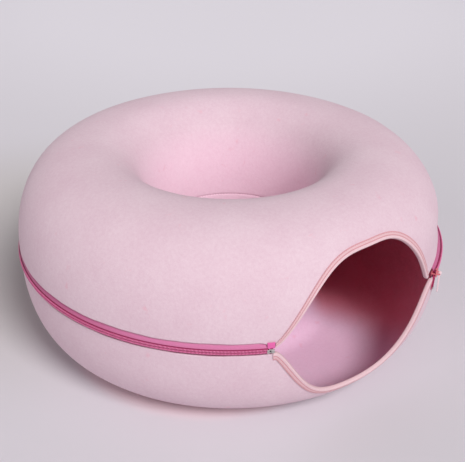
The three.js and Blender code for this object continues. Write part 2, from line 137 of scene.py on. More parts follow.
def bumps(table, angle, arc):
    """How high soft bumps reach, from rows of an angle, arc, half angle, half arc and height."""
    height = np.zeros(np.broadcast(angle, arc).shape)
    for at_angle, at_arc, half_angle, half_arc, size in table:
        across = wrapped(angle - at_angle) / half_angle
        along = (arc - at_arc) / half_arc
        height = height + size * np.exp(-across**2 - along**2)
    return height


def swell(angle, arc):
    """How far the felt stands out of its even form."""
    height = bumps(SWELLINGS, angle, arc)
    fade = 1.0 - ease(np.abs(arc), SWELLING_END / 2, SWELLING_END)
    return np.where(arc < 0, height * fade, height)


def place(angle, arc, lift):
    """Points in metres at angles and signed arcs (up is positive), lifted off the felt."""
    angle, arc, lift = (np.asarray(x, float) for x in np.broadcast_arrays(angle, arc, lift))
    radius, height, out_r, out_z = (
        np.where(arc >= 0, *(
            np.interp(np.abs(arc), section[:, 0], section[:, k]) for section in SECTIONS.values()
        ))
        for k in (1, 2, 3, 4)
    )
    out = lift + swell(angle, arc)
    radius = radius + out_r * out
    wave = np.sin(np.radians(WAVER_TURNS * angle + WAVER_SHIFT))
    waver = WAVER_SIZE * wave * np.exp(-((arc / WAVER_REACH) ** 2))
    turn = np.radians(angle - 90.0)
    point = np.stack((
        radius * np.cos(turn), radius * np.sin(turn) + RING_CENTRE_Y, height + out_z * out + waver,
    ), axis=-1)
    return point * METRE


def flank(half, name, angle):
    left, right = half[name]
    return np.where(angle > half["peak"], right, left)


def mouth(half, angle):
    """Degrees past the mouth's corner, and how far the cut edge has risen to its peak."""
    end = flank(half, "end", angle)
    past = np.where(angle > half["peak"], angle - end, end - angle)
    run = np.clip((angle - half["peak"]) / (end - half["peak"]), 0.0, 1.0)
    rise = np.cos(math.pi / 2 * run ** flank(half, "spread", angle))
    return past, np.clip(rise, 0.0, 1.0) ** flank(half, "power", angle)


def cut_edge(half, angle):
    """Arc of a half's cut edge: the mouth's outline, and the zip's edge past its corners."""
    angle = wrapped(angle)
    past, rise = mouth(half, angle)
    corner = flank(half, "corner", angle)
    beside_zip = blend(corner, half["zip_edge"], ease(past, 0.0, CORNER_RUN))
    return np.where(past >= 0, beside_zip, blend(corner, half["peak_arc"], rise))


def felt_thickness(from_edge):
    return blend(PRESSED_FELT, FELT, ease(from_edge, 0.0, PRESSED_RUN))


def skin(name, grid, closed=False, uv=None):
    """A closed mesh over columns of matching rings of points; an open row gets end faces."""
    columns, rows = grid.shape[:2]
    spans = np.arange(columns if closed else columns - 1)[:, None]
    along = np.arange(rows)[None, :]
    after = (spans + 1) % columns
    corners = (
        spans * rows + along, after * rows + along,
        after * rows + (along + 1) % rows, spans * rows + (along + 1) % rows,
    )
    faces = np.stack(corners, axis=-1).reshape(-1, 4).tolist()
    if not closed:
        faces.append(list(range(rows)))
        faces.append(list(range((columns - 1) * rows, columns * rows)))
    mesh = bpy.data.meshes.new(name)
    mesh.from_pydata(grid.reshape(-1, 3).tolist(), [], faces)
    if uv is not None:
        layer = mesh.uv_layers.new(name="cloth")
        points = np.empty(len(mesh.loops), dtype=np.int32)
        mesh.loops.foreach_get("vertex_index", points)
        layer.data.foreach_set("uv", uv.reshape(-1, 2)[points].ravel())
    shape = bmesh.new()
    shape.from_mesh(mesh)
    bmesh.ops.recalc_face_normals(shape, faces=shape.faces)
    shape.to_mesh(mesh)
    shape.free()
    mesh.shade_smooth()
    mesh.set_sharp_from_angle(angle=CREASE)
    return mesh


def put(name, data):
    """A new object of the scene."""
    made = bpy.data.objects.new(name, data)
    scene.collection.objects.link(made)
    return made


def fit(name, mesh, materials, slot, *nodes):
    """Makes a finished mesh a piece of the bed that stands for its solids."""
    piece = put(name, mesh)
    mesh.materials.clear()
    for material in materials:
        mesh.materials.append(material)
    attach(piece, "root")
    if nodes:
        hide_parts(*nodes)
    return piece


def paint(red, green, blue):
    """A screen's colour, 0 to 255 a channel, as the shares of light that it stands for."""
    shares = [channel / 255 for channel in (red, green, blue)]
    return [s / 12.92 if s <= 0.04045 else ((s + 0.055) / 1.055) ** 2.4 for s in shares] + [1.0]


def add_node(tree, kind, inputs=(), **settings):
    """A node with its settings, and its inputs set or linked by name or number."""
    node = tree.nodes.new(kind)
    for name, value in settings.items():
        setattr(node, name, value)
    for name, value in dict(inputs).items():
        if isinstance(value, bpy.types.NodeSocket):
            tree.links.new(value, node.inputs[name])
        else:
            node.inputs[name].default_value = value
    return node


def result(tree, kind, inputs=(), **settings):
    """The first output of a new node."""
    return add_node(tree, kind, inputs, **settings).outputs[0]


def math_node(tree, operation, *values):
    return result(tree, "ShaderNodeMath", enumerate(values), operation=operation)


def on_object(tree):
    return add_node(tree, "ShaderNodeTexCoord").outputs["Object"]


def noise_node(tree, at, scale, detail, roughness=0.5):
    return result(tree, "ShaderNodeTexNoise", {
        "Vector": at, "Scale": scale, "Detail": detail, "Roughness": roughness,
    })


def mixed(tree, share, a, b):
    node = add_node(tree, "ShaderNodeMix", {0: share, 6: a, 7: b}, data_type="RGBA")
    return node.outputs[2]


def new_group(name, kind, inputs, outputs):
    """An empty node group with its sockets: the tree, its input values and its output."""
    tree = bpy.data.node_groups.new(name, kind)
    for way, sockets in (("INPUT", inputs), ("OUTPUT", outputs)):
        for label, socket in sockets.items():
            tree.interface.new_socket(label, in_out=way, socket_type=socket)
    return tree, tree.nodes.new("NodeGroupInput").outputs, tree.nodes.new("NodeGroupOutput").inputs


FLOAT, COLOUR, VECTOR = "NodeSocketFloat", "NodeSocketColor", "NodeSocketVector"
# The noises of the fibres: scale, detail, and how far each mixes the two dyes
FIBRES = {"clump": (230, 4, 1.5), "tuft": (900, 3, 1.4), "cloud": (16, 2, 1.0)}
FIBRE_EVEN, FIBRE_ROUGH = -1.45, 0.62
FLECK_SCALE, FLECK_FROM, FLECK_TO = 48, 0.66, 0.76


def build_melange():
    """Mixed fibres: clumps, fine tufts and broad clouds of two dyes, with a few deeper flecks."""
    tree, given, made = new_group(
        "felt_melange", "ShaderNodeTree",
        {"Vector": VECTOR, "Light": COLOUR, "Deep": COLOUR, "Fleck": COLOUR, "Fleck Amount": FLOAT},
        {"Color": COLOUR, "Height": FLOAT},
    )
    noise, share = {}, FIBRE_EVEN
    for name, (scale, detail, weight) in FIBRES.items():
        noise[name] = noise_node(tree, given["Vector"], scale, detail, FIBRE_ROUGH)
        share = math_node(tree, "MULTIPLY_ADD", noise[name], weight, share)
    share = result(tree, "ShaderNodeClamp", {"Value": share})
    colour = mixed(tree, share, given["Deep"], given["Light"])
    fleck = result(tree, "ShaderNodeMapRange", {
        "Value": noise_node(tree, given["Vector"], FLECK_SCALE, 3, FIBRE_ROUGH), "From Min": FLECK_FROM,
        "From Max": FLECK_TO,
    })
    fleck = math_node(tree, "MULTIPLY", fleck, given["Fleck Amount"])
    tree.links.new(mixed(tree, fleck, colour, given["Fleck"]), made["Color"])
    height = math_node(tree, "MULTIPLY_ADD", noise["tuft"], 0.5, noise["clump"])
    tree.links.new(height, made["Height"])
    return tree


melange = build_melange()


def new_material(name, roughness, **constants):
    """A material with its principled shader; constants go on the shader's own sockets."""
    material = bpy.data.materials.new(name)
    material.use_nodes = True
    shader = material.node_tree.nodes["Principled BSDF"]
    shader.inputs["Roughness"].default_value = roughness
    for label, value in constants.items():
        shader.inputs[label.replace("_", " ")].default_value = value
    return material, material.node_tree, shader


def bump(tree, shader, height, strength, distance):
    node = add_node(
        tree, "ShaderNodeBump", {"Height": height, "Strength": strength, "Distance": distance},
    )
    tree.links.new(node.outputs["Normal"], shader.inputs["Normal"])


def zone(tree, at, centre, stretch, near, far):
    """1 near a point, easing to 0 farther off; a stretch of 0 leaves an axis out."""
    offset = result(tree, "ShaderNodeVectorMath", {0: at, 1: centre}, operation="SUBTRACT")
    way = result(tree, "ShaderNodeVectorMath", {0: offset, 1: stretch}, operation="MULTIPLY")
    length = add_node(tree, "ShaderNodeVectorMath", {0: way}, operation="LENGTH")
    return result(tree, "ShaderNodeMapRange", {
        "Value": length.outputs["Value"], "From Min": near, "From Max": far, "To Min": 1.0,
        "To Max": 0.0,
    }, interpolation_type="SMOOTHSTEP")


def felt_material(name, cloth, painted_light_cloth, where, fleck, amount):
    """Felt of a light and a deep dye, painted another pair inside a zone as painted light."""
    material, tree, shader = new_material(
        name, 1.0, Sheen_Weight=0.12, Sheen_Roughness=0.6, Specular_IOR_Level=0.15,
    )
    at = on_object(tree)
    share = zone(tree, at, *where)
    fibres = add_node(tree, "ShaderNodeGroup", {
        "Vector": at, "Fleck": paint(*fleck), "Fleck Amount": amount,
        "Light": mixed(tree, share, paint(*cloth[0]), paint(*painted_light_cloth[0])),
        "Deep": mixed(tree, share, paint(*cloth[1]), paint(*painted_light_cloth[1])),
    }, node_tree=melange)
    tree.links.new(fibres.outputs["Color"], shader.inputs["Base Color"])
    bump(tree, shader, fibres.outputs["Height"], 0.35, 0.0009)
    return material


# The light that comes back and forth between the felt's walls takes on its dye, and is painted
# in: a clear pink round the hole, and crimson painted shade in the tunnel away from the lit floor
# beside the mouth, where the felt is painted paler as painted light
outer_felt = felt_material(
    "felt_outside", ((232, 206, 216), (222, 190, 203)), ((248, 216, 230), (241, 204, 220)),
    ((0.0, RING_CENTRE_Y * METRE, 0.0), (1.0, 1.0, 0.0), 0.108, 0.14), (232, 168, 184), 0.4,
)
inner_felt_painted_light = felt_material(
    "felt_inside_painted_light", ((253, 162, 184), (250, 146, 170)), ((236, 200, 224), (229, 189, 215)),
    ((0.02, -0.19, 0.02), (1.0, 1.0, 1.0), 0.08, 0.16), (226, 120, 150), 0.3,
)

RING = np.concatenate((
    np.linspace(-30.0, 34.0, 160, endpoint=False), np.linspace(34.0, 330.0, 236, endpoint=False),
))
STANDING = (150.0, 190.0)  # the lower shell is pressed even from here on, where it stands
# The felt's slight unevenness, a few tenths of a millimetre over some centimetres
LUMP_COUNT = 90
dice = np.random.default_rng(11)
lump_angle, lump_arc = dice.uniform(-180, 180, LUMP_COUNT), dice.uniform(-150, 330, LUMP_COUNT)
lump_half, lump_size = dice.uniform(14, 40, LUMP_COUNT), dice.normal(0.0, 0.22, LUMP_COUNT)
LUMPS = np.column_stack(
    (lump_angle, lump_arc, np.degrees(lump_half / CROWN_RADIUS), lump_half, lump_size),
)


def zip_border(half, angle):
    """How unevenly the felt is trimmed beside the zip."""
    turn = np.radians(angle)
    past = mouth(half, wrapped(angle))[0]
    uneven = 0.3 * np.sin(17 * turn + 1) + 0.2 * np.sin(41 * turn + 4) + 0.12 * np.sin(97 * turn)
    return uneven * ease(past, 1.0, 8.0)


def felt_grid(name):
    """Rings of points across a shell, and which of their rows belong to the outer face."""
    half = HALVES[name]
    angle = RING[:, None]
    start = cut_edge(half, angle) + zip_border(half, angle)
    seam = SECTIONS[name][-1, 0] - GAP / 2
    trim = np.array([0.6, 0.2, 0.0, 0.0, 0.2, 0.6])
    trim_lift = -PRESSED_FELT * np.array([1.0, 0.88, 0.65, 0.35, 0.1, 0.0])
    beside = np.array([1.6, 3.5, 6.5, 11.0, 16.0])
    share = np.linspace(0.0, 1.0, 46)[1:]
    before_seam = seam - 4.0
    outer = np.hstack((start + beside, blend(start + beside[-1], before_seam, share)))
    turn_in = np.array([2.2, 0.9, 0.25, 0.0, 0.0, 0.5, 4.0])
    turn_lift = np.array([-0.08, -0.3, -0.65, -1.1, -3.4, -FELT, -FELT])
    inner_share = np.linspace(1.0, 0.0, 34)[1:]
    inner = np.hstack((blend(start + beside[-1], before_seam, inner_share), start + beside[-2::-1]))
    ones = np.ones_like(angle)
    arc = np.hstack((start + trim, outer, (seam - turn_in) * ones, inner))
    lift = np.hstack((
        trim_lift * ones, outer * 0.0, turn_lift * ones, -felt_thickness(inner - start),
    ))
    fade = 1.0 - ease(arc, *STANDING) if name == "lower" else 1.0
    lift = lift + fade * bumps(LUMPS, angle, half["side"] * arc)
    outside = len(trim) + outer.shape[1] + 4
    return place(angle, half["side"] * arc, lift), outside


for name in HALVES:
    grid, outside = felt_grid(name)
    mesh = skin(f"{name}_felt", grid, closed=True)
    row = np.tile(np.arange(grid.shape[1]), len(RING))
    shell = fit(f"{name}_felt", mesh, [outer_felt, inner_felt_painted_light], "felt", f"{name}_shell")
    mesh.polygons.foreach_set("material_index", (row >= outside).astype(np.int32))

# Hole seam. The two shells are butted inside the hole and whipped together with a matching
# polyester thread: short stitches lie across the joint all the way round.
SEAM_STITCH = (4.2, 5.0, 0.32)  # a stitch's pitch and length, and its thread's half thickness
SEAM_SUNK = -0.45
WOBBLE, WOBBLE_SEED = 0.12, 3


def begin_row(name, sizes):
    """A tree with named sizes, its points along a line, and their turn with it and the felt."""
    shape = {"Geometry": "NodeSocketGeometry"}
    inputs = {**shape, "Pitch": FLOAT, **sizes, "Material": "NodeSocketMaterial"}
    tree, given, made = new_group(name, "GeometryNodeTree", inputs, shape)
    line = result(tree, "GeometryNodeMeshToCurve", {0: given["Geometry"]})
    points = result(
        tree, "GeometryNodeResampleCurve", {"Curve": line, "Length": given["Pitch"]}, mode="LENGTH",
    )
    along = result(tree, "GeometryNodeInputTangent")
    out = result(tree, "GeometryNodeInputNamedAttribute", {"Name": "out"}, data_type="FLOAT_VECTOR")
    upright = result(tree, "FunctionNodeAlignRotationToVector", {"Vector": out}, axis="Z")
    lying = result(
        tree, "FunctionNodeAlignRotationToVector", {"Rotation": upright, "Vector": along},
        axis="X", pivot_axis="Z",
    )
    return tree, given, made, points, lying


def end_row(tree, given, made, points, shape, turned):
    """Sets a shape on each point and gives the row its material."""
    row = result(
        tree, "GeometryNodeInstanceOnPoints",
        {"Points": points, "Instance": shape, "Rotation": turned},
    )
    row = result(tree, "GeometryNodeRealizeInstances", {0: row})
    row = result(tree, "GeometryNodeSetMaterial", {"Geometry": row, "Material": given["Material"]})
    tree.links.new(row, made[0])
    return tree


def build_stitches():
    """A row of stitches along a line: each is a bead of thread, sunk a little in the cloth."""
    sizes = {"Length": FLOAT, "Thread": FLOAT, "Turn": FLOAT}
    tree, given, made, points, lying = begin_row("sewn_row", sizes)
    wobble = add_node(
        tree, "FunctionNodeRandomValue", {"Min": -WOBBLE, "Max": WOBBLE, "Seed": WOBBLE_SEED},
        data_type="FLOAT",
    ).outputs[1]
    turn = math_node(tree, "ADD", given["Turn"], wobble)
    turn = result(tree, "ShaderNodeCombineXYZ", {"Z": turn})
    slanted = result(
        tree, "FunctionNodeRotateRotation", {"Rotation": lying, "Rotate By": turn},
        rotation_space="LOCAL",
    )
    bead = result(tree, "GeometryNodeMeshUVSphere", {"Segments": 6, "Rings": 4, "Radius": 1.0})
    half_length = math_node(tree, "MULTIPLY", given["Length"], 0.5)
    half = given["Thread"]
    size = result(tree, "ShaderNodeCombineXYZ", {"X": half_length, "Y": half, "Z": half})
    bead = result(tree, "GeometryNodeTransform", {"Geometry": bead, "Scale": size})
    return end_row(tree, given, made, points, bead, slanted)


sewn_row = build_stitches()


def along_lines(name, lines, tree, values):
    """Runs a node tree over lines of points and outward directions, and keeps plain mesh."""
    points, outs, edges = [], [], []
    for line, out in lines:
        first = len(points)
        points.extend(line.tolist())
        outs.extend(out.ravel().tolist())
        edges.extend((i, i + 1) for i in range(first, first + len(line) - 1))
    mesh = bpy.data.meshes.new(f"{name}_path")
    mesh.from_pydata(points, edges, [])
    mesh.attributes.new("out", "FLOAT_VECTOR", "POINT").data.foreach_set("vector", outs)
    carrier = put(f"{name}_path", mesh)
    modifier = carrier.modifiers.new("row", "NODES")
    modifier.node_group = tree
    for item in tree.interface.items_tree:
        if item.in_out == "INPUT" and item.name in values:
            modifier[item.identifier] = values[item.name]
    depsgraph = bpy.context.evaluated_depsgraph_get()
    made = bpy.data.meshes.new_from_object(carrier.evaluated_get(depsgraph))
    carrier.modifiers.remove(modifier)
    bpy.data.objects.remove(carrier)
    made.name = name
    made.shade_smooth()
    return made


def line_on_felt(angle, arc, lift):
    """A line of points over the felt, with the direction out of it at each."""
    line = place(angle, arc, lift)
    out = place(angle, arc, lift + 1.0) - line
    return line, out / np.linalg.norm(out, axis=1)[:, None]


FINE_DEPTH = 0.0002


def clouded(tree, shader, scale, detail, deep, light, strength, painted_shade=None):
    """Shades a surface between two colours by a fine noise, which also roughens its surface; any
    painted shade goes over the colour.
    """
    noise = noise_node(tree, on_object(tree), scale, detail)
    shade = mixed(tree, noise, deep, light)
    if painted_shade:
        shade = painted_shade(tree, shade)
    tree.links.new(shade, shader.inputs["Base Color"])
    bump(tree, shader, noise, strength, FINE_DEPTH)
    return noise


def deepened(colour, share):
    return [channel * share for channel in paint(*colour)[:3]] + [1.0]


def thread_material(name, colour):
    material, tree, shader = new_material(name, 0.55, Sheen_Weight=0.2, Specular_IOR_Level=0.4)
    clouded(tree, shader, 900.0, 2.0, deepened(colour, 0.82), paint(*colour), 0.3)
    return material


def sew(name, lines, stitch, turn, thread, slot):
    """A piece of stitches along lines, each turned out of its line by an angle."""
    pitch, length, half_thickness = (size * METRE for size in stitch)
    sizes = {"Pitch": pitch, "Length": length, "Thread": half_thickness, "Turn": turn}
    mesh = along_lines(name, lines, sewn_row, {**sizes, "Material": thread})
    return fit(name, mesh, [thread], slot)


felt_thread = thread_material("felt_thread", (238, 200, 214))
seam_arc = SECTIONS["upper"][-1, 0] - 0.05
seam = line_on_felt(np.linspace(0.0, 360.0, 361), seam_arc, SEAM_SUNK)
sew("hole_seam_stitches", [seam], SEAM_STITCH, math.pi / 2, felt_thread, "felt")

# Mouth bindings. A salmon twill tape is folded over the cut edge of each shell and sewn
# through the felt with two rows of lockstitch, so that it puffs up between the rows and
# rounds over the edge as a soft lip.
BINDING_TAPE = 1.0
BINDING_FLAP = 7.0  # the flap's usual width, which the woven pattern is laid out for
BINDING_ROWS = (0.16, 0.62)  # the stitch rows, as shares of the flap's width from its border
BINDING_STITCH, BINDING_TURN = (2.9, 2.5, 0.3), 0.12
DIMPLE, DIMPLE_HALF = 0.28, 0.07
FLAP_LIFT, FLAP_PUFF = 1.32, 0.12
LIP_OUT, LIP_MIDDLE, LIP_HALF, LIP_POWER = 1.3, -1.4, 2.72, 0.8
MOST_SLANT = 1.9


def slant(half, angle):
    """How much longer a way up the felt is than the same way square to the cut edge."""
    step = 0.25
    rise = cut_edge(half, angle + step) - cut_edge(half, angle - step)
    run = math.radians(2 * step) * OUTER_RADIUS
    return np.minimum(np.hypot(1.0, rise / run), MOST_SLANT)


def binding_width(half, angle):
    rise = mouth(half, angle)[1]
    return blend(flank(half, "binding", angle), half["peak_binding"], rise)


def flap_lift(share):
    """The outer flap's lift: puffed up, and pulled down at the stitch rows."""
    lift = FLAP_LIFT + FLAP_PUFF * np.sin(math.pi * share)
    for row in BINDING_ROWS:
        lift = lift - DIMPLE * np.exp(-(((share - row) / DIMPLE_HALF) ** 2))
    return lift


def circle(count):
    return np.linspace(0.0, 2 * math.pi, count, endpoint=False)


def squared(wave, power):
    """A sine or cosine made fuller, so that a round section turns into a rounded oblong."""
    return np.sign(wave) * np.abs(wave) ** power


def binding_grid(name):
    half = HALVES[name]
    angle = np.linspace(*half["stop"], 260)[:, None]
    width = binding_width(half, angle)
    share = np.linspace(0.0, 1.0, 20)
    turn = np.radians(np.linspace(90.0, 270.0, 13)[1:-1])
    fold = LIP_OUT * squared(np.cos(turn), LIP_POWER)
    fold_lift = LIP_MIDDLE + LIP_HALF * squared(np.sin(turn), LIP_POWER)

    def ring_of(width):
        """The tape's section: outer flap, fold and inner flap, and back on its inside."""
        flap = (1.0 - share) * width
        inner = np.linspace(0.0, 1.0, 8) * width
        inner_lift = -felt_thickness(inner) - GAP
        zero = 0.0 * width
        way = (flap, fold + zero, inner, inner[:, ::-1], zero - GAP, zero - GAP, flap[:, ::-1])
        lift = (
            flap_lift(share) + zero, fold_lift + zero, inner_lift - BINDING_TAPE,
            inner_lift[:, ::-1], zero - PRESSED_FELT, zero, GAP + 0.0 * flap,
        )
        return np.hstack(way), np.hstack(lift)

    way, lift = ring_of(width)
    arc = cut_edge(half, angle) + way * slant(half, angle)
    grid = place(angle, half["side"] * arc, lift)
    usual = np.concatenate(ring_of(np.array([[BINDING_FLAP]])))
    girth = way_along(usual.T) * METRE
    uv = np.stack(np.broadcast_arrays(way_along(grid[:, 10])[:, None], girth), axis=-1)
    return grid, uv


def build_weave():
    """Slanting threads of a woven tape, turned over in chevrons, from a map in metres."""
    tree, given, made = new_group(
        "woven_tape", "ShaderNodeTree", {"Vector": VECTOR, "Pitch": FLOAT, "Chevron": FLOAT},
        {"Height": FLOAT, "Thread": FLOAT},
    )
    split = add_node(tree, "ShaderNodeSeparateXYZ", {0: given["Vector"]}).outputs
    fold = math_node(tree, "PINGPONG", split[1], given["Chevron"])
    slanted = math_node(tree, "DIVIDE", math_node(tree, "ADD", split[0], fold), given["Pitch"])
    twill = math_node(tree, "SINE", math_node(tree, "MULTIPLY", slanted, 2 * math.pi))
    across = math_node(tree, "DIVIDE", split[1], given["Pitch"])
    weft = math_node(tree, "SINE", math_node(tree, "MULTIPLY", across, 3.2 * math.pi))
    height = math_node(tree, "MULTIPLY_ADD", twill, 0.35, 0.5)
    height = math_node(tree, "MULTIPLY_ADD", weft, 0.15, height)
    tree.links.new(height, made["Height"])
    uneven = noise_node(tree, given["Vector"], 420.0, 3.0)
    thread = math_node(tree, "MULTIPLY_ADD", uneven, 0.6, math_node(tree, "MULTIPLY", height, 0.4))
    tree.links.new(thread, made["Thread"])
    return tree


woven_tape = build_weave()
STRIPE_REACH = 20.0  # how far across a tape the table of its stripes goes


def stripes(tree, across, table):
    """The colour across a tape, from a table of ways across it and colours."""
    share = math_node(tree, "DIVIDE", across, STRIPE_REACH * METRE)
    ramp = add_node(tree, "ShaderNodeValToRGB", {0: share})
    elements = ramp.color_ramp.elements
    elements[0].color = paint(*table[0][1])
    elements[1].color = paint(*table[-1][1])
    for way, colour in table[1:-1]:
        elements.new(way / STRIPE_REACH).color = paint(*colour)
    return ramp.outputs[0]


def tape_material(name, table, pitch, chevron, painted_shade=None):
    material, tree, shader = new_material(
        name, 0.75, Sheen_Weight=0.2, Sheen_Roughness=0.4, Specular_IOR_Level=0.3,
    )
    at = result(tree, "ShaderNodeUVMap", uv_map="cloth")
    weave = add_node(tree, "ShaderNodeGroup", {
        "Vector": at, "Pitch": pitch * METRE, "Chevron": chevron * METRE,
    }, node_tree=woven_tape)
    across = add_node(tree, "ShaderNodeSeparateXYZ", {0: at}).outputs[1]
    cloth = stripes(tree, across, table)
    # Painted shade, where given, goes over the stripes
    if painted_shade:
        cloth = painted_shade(tree, cloth)
    deep = mixed(tree, 0.2, cloth, paint(0, 0, 0))
    tree.links.new(mixed(tree, weave.outputs["Thread"], deep, cloth), shader.inputs["Base Color"])
    bump(tree, shader, weave.outputs["Height"], 0.5, FINE_DEPTH)
    return material


# A salmon border and middle line, a paler band between them, and the lip painted palest as painted
# light on its fold
BORDER, BAND, PAINTED_LIGHT_LIP = (228, 166, 174), (240, 196, 202), (244, 208, 214)
binding_cloth = tape_material("binding_twill", (
    (0.0, BORDER), (0.8, BORDER), (1.3, BAND), (3.6, BAND), (4.0, BORDER), (4.7, BORDER),
    (5.2, PAINTED_LIGHT_LIP), (STRIPE_REACH, PAINTED_LIGHT_LIP),
), 0.9, 1.3)
binding_thread = thread_material("binding_thread", (212, 136, 146))

for name, half in HALVES.items():
    grid, uv = binding_grid(name)
    length = float(uv[-1, 0, 0])
    mesh = skin(f"binding_{name}", grid, uv=uv)
    binding = fit(f"binding_{name}", mesh, [binding_cloth], "binding", f"mouth_binding_{name}")
    angle = np.linspace(half["stop"][0] + 0.2, half["stop"][1] - 0.2, 200)
    width = binding_width(half, angle) * slant(half, angle)
    rows = []
    for share in BINDING_ROWS:
        arc = cut_edge(half, angle) + (1.0 - share) * width
        rows.append(line_on_felt(angle, half["side"] * arc, float(flap_lift(share)) + 0.05))
    label = f"binding_stitches_{name}"
    stitches = sew(label, rows, BINDING_STITCH, BINDING_TURN, binding_thread, "binding")

# Zip tapes. Magenta polyester tapes, tucked behind the felt's edges and sewn there, that
# bow out to carry the coils. The lower one's end comes out of the slider, turns down and
# hangs free beside the mouth.
TAPE_RIGHT, TAPE_TUCK, TAPE_THICKNESS = 30.1, 7.5, 0.9
TAPE_STITCH, TAPE_TURN = (2.4, 2.3, 0.25), 2.0
COIL_INNER, COIL_OUTER, COIL_LOW, COIL_LEFT = 0.15, 3.3, 0.6, -26.52


def rounded(path, times=2):
    """Cuts the corners of rows of stations, so that a bent path runs round."""
    for _ in range(times):
        near = 0.75 * path[:, :-1] + 0.25 * path[:, 1:]
        far = 0.25 * path[:, :-1] + 0.75 * path[:, 1:]
        middle = np.stack((near, far), axis=2).reshape(len(path), -1, 2)
        path = np.concatenate((path[:, :1], middle, path[:, -1:]), axis=1)
    return path


def thickened(path, thickness):
    """The ring round a strip from its upper path of (arc, lift) stations."""
    along = headings(path, axis=1)
    under = path + np.stack((-along[..., 1], along[..., 0]), axis=-1) * thickness
    return np.concatenate((path, under[:, ::-1]), axis=1)


def tape_map(angle, arc):
    """A tape's own map in metres: along it and across it."""
    along = np.radians(angle) * OUTER_RADIUS
    return np.stack(np.broadcast_arrays(along, arc), axis=-1) * METRE


def tape_grid(name):
    half = HALVES[name]
    angle = np.linspace(TAPE_RIGHT, 360.0 + half["tape_end"], 520)[:, None]
    start = cut_edge(half, angle)
    zero = np.zeros_like(angle)
    clear = GAP + 0.05
    turn = np.radians(angle)
    ripple = 0.16 * np.sin(23 * turn + half["side"]) + 0.1 * np.sin(61 * turn)
    stations = (
        (start + TAPE_TUCK, -felt_thickness(TAPE_TUCK) - clear + zero),
        (start + 2 * GAP, -felt_thickness(1.0) - clear + zero),
        (start - GAP, -PRESSED_FELT - 0.1 + zero),
        (blend(start, COIL_OUTER, 0.6), -0.9 + ripple),
        (COIL_OUTER + zero, 0.1 + zero),
        (COIL_INNER + zero, 0.3 + zero),
    )
    path = np.stack([np.concatenate(station, axis=1) for station in stations], axis=1)
    ring = thickened(rounded(path), TAPE_THICKNESS)
    grid = place(angle, half["side"] * ring[..., 0], ring[..., 1])
    return grid, tape_map(angle - TAPE_RIGHT, ring[..., 0])


STRIP_POWER = 0.45


def strip_grid(stations, count=26, sides=14):
    """Rings along a strip that runs down over the felt, from a table of its stations:
    the arc, the angles of its two sides, and the lifts of its under and upper faces."""
    table = np.array(stations, float)
    path = np.hstack([rounded(table[None, :, (0, k)])[0] for k in (1, 2, 3, 4)])
    step = np.linspace(0, len(path) - 1, count)
    arc, left, _, right, _, under, _, over = (
        np.interp(step, np.arange(len(path)), column)[:, None] for column in path.T
    )
    turn = circle(sides) + math.pi / sides
    angle = blend(left, right, 0.5 + 0.5 * squared(np.cos(turn), STRIP_POWER))
    lift = blend(under, over, 0.5 + 0.5 * squared(np.sin(turn), STRIP_POWER))
    return place(angle, arc, lift), tape_map(angle, arc)[..., ::-1]


def joined(name, meshes):
    """One mesh of several finished ones."""
    shape = bmesh.new()
    for mesh in meshes:
        shape.from_mesh(mesh)
    made = bpy.data.meshes.new(name)
    shape.to_mesh(made)
    shape.free()
    return made


def paint_faces(mesh, faces, slot):
    for face in faces:
        mesh.polygons[face].material_index = slot


TAPE_TAIL = (
    (-1.8, 29.7, 30.8, -0.6, 0.2), (-2.9, 29.4, 30.4, -0.6, 0.2), (-4.6, 29.1, 30.1, 0.35, 1.35),
    (-12.0, 29.0, 30.0, 0.5, 1.5), (-22.5, 28.9, 29.9, 0.35, 1.35),
)
# Where the zip is left unshaded: a point, the axes that count, and how far it is full and reaches
UNSHADED_CORNER = ((-0.137, -0.27, 0.135), (1.0, 1.0, 1.0), 0.1, 0.25)
PAINTED_SHADE_TINT, PAINTED_SHADE_SHARE = (178, 30, 92), 0.3


def painted_shade_off_corner(tree, dye):
    """The zip's dye, painted deeper as painted shade everywhere but round the front corner of the bed.
    """
    pale = zone(tree, on_object(tree), *UNSHADED_CORNER)
    return mixed(tree, pale, mixed(tree, PAINTED_SHADE_SHARE, dye, paint(*PAINTED_SHADE_TINT)), dye)


# The tape is painted a deep crimson beside the coil, as painted shade in the groove there, and
# is palest along its edge by the felt
MAGENTA, PAINTED_GROOVE_SHADE, EDGE_PALE = (222, 130, 174), (178, 46, 100), (228, 166, 190)
zip_cloth = tape_material("zip_tape_weave", (
    (0.0, PAINTED_GROOVE_SHADE), (3.5, PAINTED_GROOVE_SHADE), (3.9, MAGENTA), (8.0, MAGENTA), (10.5, EDGE_PALE),
    (STRIPE_REACH, EDGE_PALE),
), 1.1, 1.6, painted_shade_off_corner)
# The hanging tail is the same magenta tape, painted crimson as painted shade
painted_shade_tail_cloth = tape_material(
    "zip_tail_painted_shade_weave", ((0.0, (214, 50, 98)), (STRIPE_REACH, (222, 62, 116))), 1.1, 1.6,
)
tape_thread = thread_material("zip_thread", (158, 44, 92))

